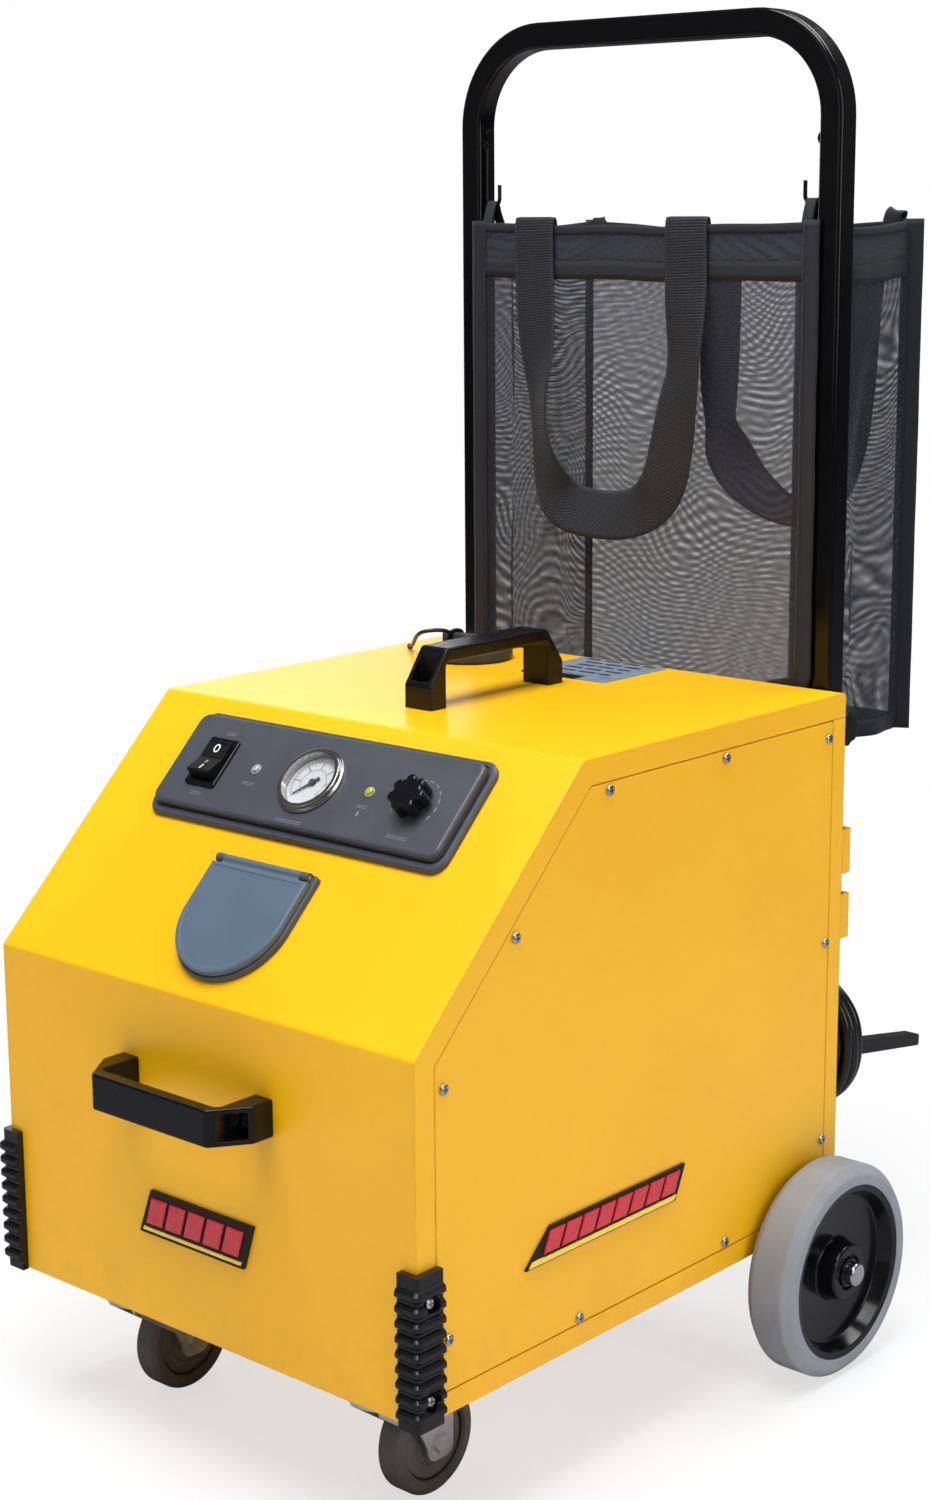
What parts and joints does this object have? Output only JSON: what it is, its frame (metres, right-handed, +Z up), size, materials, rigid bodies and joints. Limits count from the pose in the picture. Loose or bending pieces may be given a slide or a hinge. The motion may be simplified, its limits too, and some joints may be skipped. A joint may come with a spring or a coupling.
{
  "type": "steam cleaner",
  "caption": "Wheeled steam cleaner with a sheet-metal cabinet, sloping control panel, hinged outlet flap, push handle and hanging mesh tote.",
  "frame": {"origin": "on the floor under the centre of the machine's bounding box", "axes": "+X to the right seen from the front, +Y to the rear where the push handle stands, +Z up"},
  "size_m": [0.498, 0.6453, 0.9855],
  "materials": {
    "yellow_powder_coat": "fine textured powder coat",
    "black_powder_coat": "gloss",
    "bright_screw": "polished",
    "zinc_plate": "zinc plated",
    "black_moulding": "satin",
    "panel_moulding": "fine grain",
    "switch_black": "gloss",
    "dial_white": "matt print",
    "gauge_window": "clear",
    "lamp_lens": "clear lens",
    "flap_grey": "satin",
    "brass_fitting": "machined",
    "plate_silver": "printed foil",
    "grey_tyre": "soft rubber",
    "caster_tread": "matt",
    "tote_mesh": "open mesh",
    "cord_black": "satin",
    "stainless": "brushed",
    "tank_plastic": "translucent white",
    "pump_body": "matt",
    "circuit_board": "solder resist",
    "copper_pipe": "drawn",
    "silicone_hose": "translucent",
    "red_lever": "dipped"
  },
  "bodies": {
    "base": {"hood": "yellow_powder_coat", "base_tray": "yellow_powder_coat", "rear_panel": "yellow_powder_coat", "side_panel_right": "yellow_powder_coat", "side_panel_left": "yellow_powder_coat", "pan_head_screws": "bright_screw", "corner_guards": "black_moulding", "front_handle": "black_moulding", "top_handle": "black_moulding", "bolts": "zinc_plate", "control_panel": "panel_moulding", "switch_housing": "switch_black", "gauge_case": "bright_screw", "gauge_dial": "dial_white", "gauge_glass": "gauge_window", "indicator_lamps": "lamp_lens", "valve_nut": "bright_screw", "valve_body": "brass_fitting", "socket_housing": "flap_grey", "lid_hinge_pin": "zinc_plate", "steam_socket": "brass_fitting", "filler_neck": "black_moulding", "nameplates": "plate_silver", "rear_axle": "zinc_plate", "axle_brackets": "zinc_plate", "axle_caps": "zinc_plate", "caster_plates": "zinc_plate", "push_handle": "black_powder_coat", "handle_mounts": "yellow_powder_coat", "bag_hooks": "black_powder_coat", "cord_hooks": "black_powder_coat", "power_cord": "cord_black", "boiler": "stainless", "heating_element": "stainless", "boiler_valves": "brass_fitting", "water_tank": "tank_plastic", "feed_pump": "pump_body", "control_board": "circuit_board", "steam_pipes": "copper_pipe", "water_hose": "silicone_hose", "drain_valve": "brass_fitting"},
    "wheel_right": {"tyre_right": "grey_tyre", "rim_right": "black_moulding"},
    "wheel_left": {"tyre_left": "grey_tyre", "rim_left": "black_moulding"},
    "caster_right": {"caster_fork_right": "zinc_plate"},
    "caster_left": {"caster_fork_left": "zinc_plate"},
    "caster_roller_right": {"caster_wheel_right": "caster_tread"},
    "caster_roller_left": {"caster_wheel_left": "caster_tread"},
    "power_switch": {"rocker_button": "switch_black"},
    "steam_control": {"output_knob": "black_moulding", "valve_stem": "zinc_plate"},
    "gauge_pointer": {"gauge_needle": "switch_black"},
    "outlet_lid": {"socket_lid": "flap_grey"},
    "filler_lid": {"filler_cap": "black_moulding", "cap_tether": "cord_black"},
    "clamp_right": {"handle_knob_right": "black_moulding"},
    "clamp_left": {"handle_knob_left": "black_moulding"},
    "tote": {"bag": "tote_mesh"},
    "drain_handle": {"drain_lever": "red_lever"}
  },
  "joints": [
    {"name": "rear_wheel_right_spin", "type": "hinge", "parent": "base", "child": "wheel_right", "pos_m": [0.22, 0.1397, 0.08], "axis": [1, 0, 0], "continuous": true},
    {"name": "rear_wheel_left_spin", "type": "hinge", "parent": "base", "child": "wheel_left", "pos_m": [-0.22, 0.1397, 0.08], "axis": [1, 0, 0], "continuous": true},
    {"name": "caster_right_swivel", "type": "hinge", "parent": "base", "child": "caster_right", "pos_m": [0.121, -0.2293, 0.085], "axis": [0, 0, 1], "continuous": true},
    {"name": "caster_left_swivel", "type": "hinge", "parent": "base", "child": "caster_left", "pos_m": [-0.121, -0.2293, 0.085], "axis": [0, 0, 1], "continuous": true},
    {"name": "caster_right_roll", "type": "hinge", "parent": "caster_right", "child": "caster_roller_right", "pos_m": [0.121, -0.1917, 0.0381], "axis": [1, 0, 0], "continuous": true},
    {"name": "caster_left_roll", "type": "hinge", "parent": "caster_left", "child": "caster_roller_left", "pos_m": [-0.121, -0.1917, 0.0381], "axis": [1, 0, 0], "continuous": true},
    {"name": "switch_rock", "type": "hinge", "parent": "base", "child": "power_switch", "pos_m": [-0.0965, -0.16685, 0.46711], "axis": [1, 0, 0], "range_deg": [0, 20]},
    {"name": "steam_knob_turn", "type": "hinge", "parent": "base", "child": "steam_control", "pos_m": [0.0965, -0.1672, 0.46747], "axis": [0, -0.7009, 0.7132], "range_deg": [0, 270]},
    {"name": "pressure_reading", "type": "hinge", "parent": "base", "child": "gauge_pointer", "pos_m": [0, -0.166, 0.46725], "axis": [0, 0.7009, -0.7132], "range_deg": [0, 270]},
    {"name": "outlet_lid_open", "type": "hinge", "parent": "base", "child": "outlet_lid", "pos_m": [0, -0.21346, 0.41767], "axis": [-1, 0, 0], "range_deg": [0, 110]},
    {"name": "filler_cap_lift", "type": "slide", "parent": "base", "child": "filler_lid", "axis": [0, 0, 1], "range_m": [0, 0.06]},
    {"name": "clamp_right_turn", "type": "hinge", "parent": "base", "child": "clamp_right", "pos_m": [0.18, 0.19935, 0.472], "axis": [1, 0, 0], "range_deg": [0, 360]},
    {"name": "clamp_left_turn", "type": "hinge", "parent": "base", "child": "clamp_left", "pos_m": [-0.18, 0.19935, 0.472], "axis": [-1, 0, 0], "range_deg": [0, 360]},
    {"name": "tote_lift", "type": "slide", "parent": "base", "child": "tote", "axis": [0, 0, 1], "range_m": [0, 0.06]},
    {"name": "drain_turn", "type": "hinge", "parent": "base", "child": "drain_handle", "pos_m": [0, -0.1103, 0.085], "axis": [0, 1, 0], "range_deg": [0, 90]}
  ]
}
